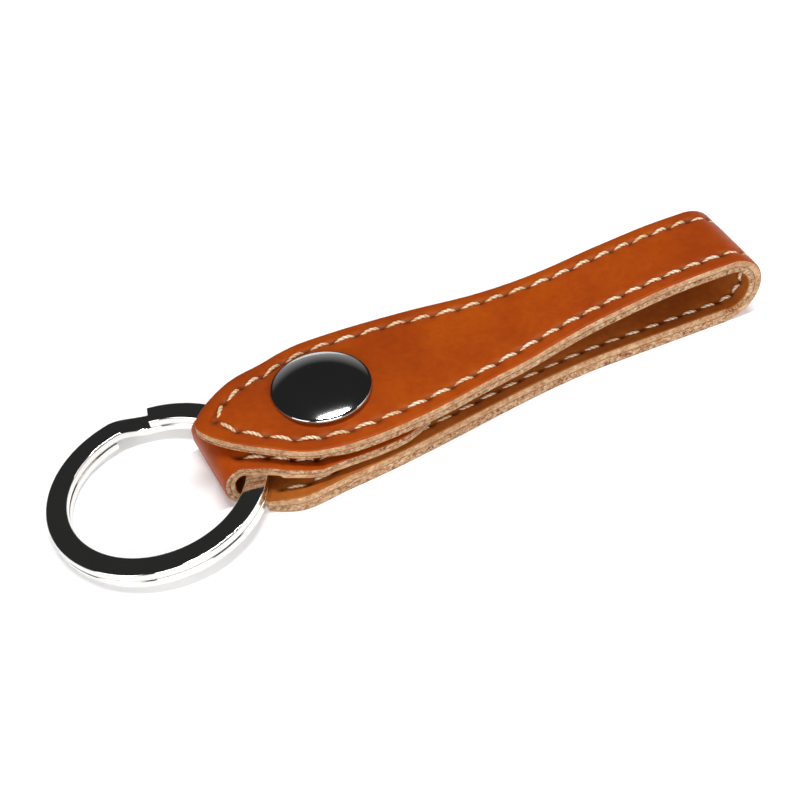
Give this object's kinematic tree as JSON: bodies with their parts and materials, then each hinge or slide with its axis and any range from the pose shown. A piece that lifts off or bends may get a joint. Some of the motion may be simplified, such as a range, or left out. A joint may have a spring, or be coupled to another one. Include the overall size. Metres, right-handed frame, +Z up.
{
  "type": "leather key fob",
  "caption": "Two-ply stitched leather strap folded into a belt loop, closed by a snap fastener, with a split key ring held in the folded end.",
  "frame": {"origin": "the point on the underside of the lower run, straight below the snap's axis", "axes": "+X along the strap from the key ring towards the loop end, +Y across the strap, +Z up out of the surface it lies on, along the snap's axis"},
  "size_m": [0.1116, 0.032, 0.0119],
  "materials": {
    "outer_leather": "smooth glossy tan leather with raw light edges",
    "lining_leather": "smooth tan leather, a little darker and less glossy than the outer ply",
    "thread": "cream twisted thread, lightly waxed",
    "snap_plating": "polished nickel plating",
    "spring_wire": "drawn spring wire",
    "ring_plating": "polished nickel plating"
  },
  "bodies": {
    "lower_strap": {"lower_outer_leather": "outer_leather", "lower_lining_leather": "lining_leather", "bend_outer_leather": "outer_leather", "bend_lining_leather": "lining_leather", "bend_outer_thread": "thread", "bend_lining_thread": "thread", "lower_outer_thread": "thread", "lower_lining_thread": "thread", "tab_thread": "thread", "snap_stud": "snap_plating", "snap_post": "snap_plating"},
    "upper_strap": {"upper_outer_leather": "outer_leather", "upper_lining_leather": "lining_leather", "upper_outer_thread": "thread", "upper_lining_thread": "thread", "snap_cap": "snap_plating", "snap_socket": "snap_plating", "socket_spring": "spring_wire"},
    "split_ring": {"key_ring": "ring_plating"}
  },
  "joints": [
    {"name": "strap_open", "type": "hinge", "parent": "lower_strap", "child": "upper_strap", "pos_m": [0.0633, 0, 0.00588], "axis": [0, 1, 0], "range_deg": [0, 75], "deforming": ["bend_outer_leather", "bend_lining_leather", "bend_outer_thread", "bend_lining_thread", "socket_spring"]},
    {"name": "ring_turn", "type": "hinge", "parent": "lower_strap", "child": "split_ring", "pos_m": [-0.0262, -0.0025, 0.00136], "axis": [-0.0819, 0.0157, 0.9965], "continuous": true}
  ]
}
